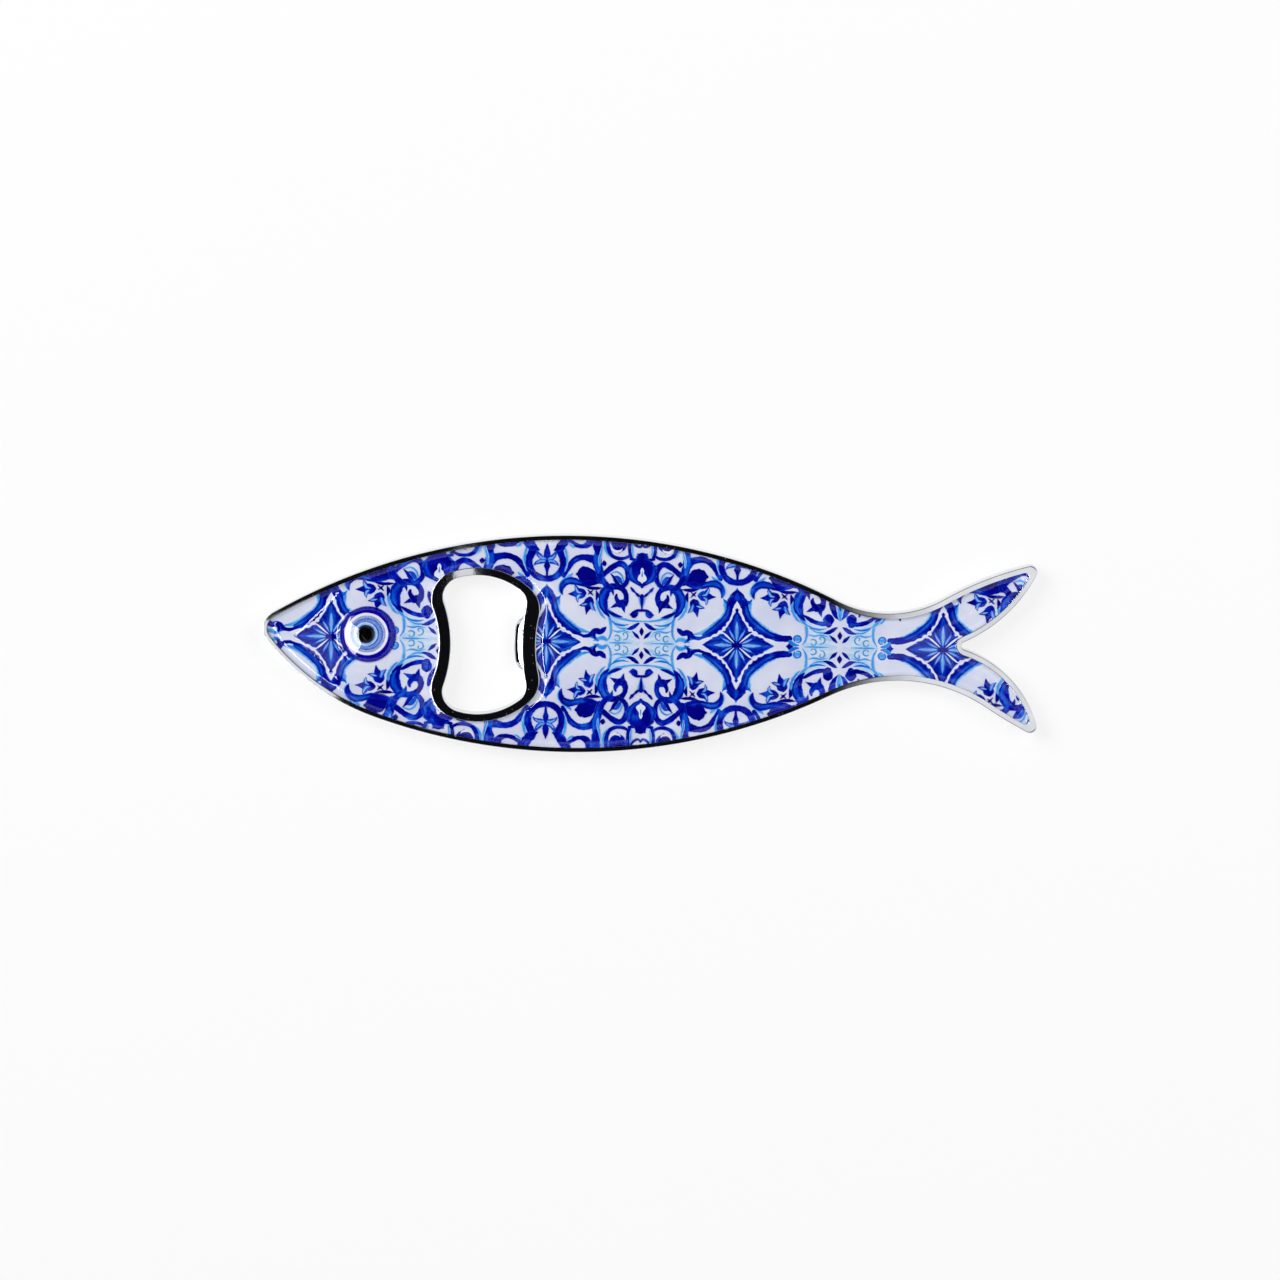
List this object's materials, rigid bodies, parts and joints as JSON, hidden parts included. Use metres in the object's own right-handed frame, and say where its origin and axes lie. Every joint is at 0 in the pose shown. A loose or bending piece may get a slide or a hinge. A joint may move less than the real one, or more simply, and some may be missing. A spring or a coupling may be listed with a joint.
{
  "type": "bottle opener",
  "caption": "Flat fish-shaped bottle opener with a plated metal body, a tile-patterned printed face under clear resin, a domed eye and a magnet strip in the back.",
  "frame": {"origin": "middle of the outline's box, at the back face that the opener lies on", "axes": "+X from the nose towards the tail, +Y from the belly towards the back of the fish, +Z out of the printed face"},
  "size_m": [0.1399, 0.0394, 0.0054],
  "materials": {
    "chrome_plating": "bright chrome plating on a die casting",
    "adhesive_film": "thin white adhesive",
    "printed_film": "blue and white printed film",
    "clear_resin": "clear domed resin",
    "eye_print": "printed disc with rings",
    "magnet_rubber": "matt flexible magnet strip"
  },
  "bodies": {
    "root": {"body": "chrome_plating", "print_adhesive": "adhesive_film", "printed_sheet": "printed_film", "resin_coat": "clear_resin", "eye_disc": "eye_print", "eye_lens": "clear_resin", "magnet_glue": "adhesive_film", "back_magnet": "magnet_rubber"}
  },
  "joints": []
}
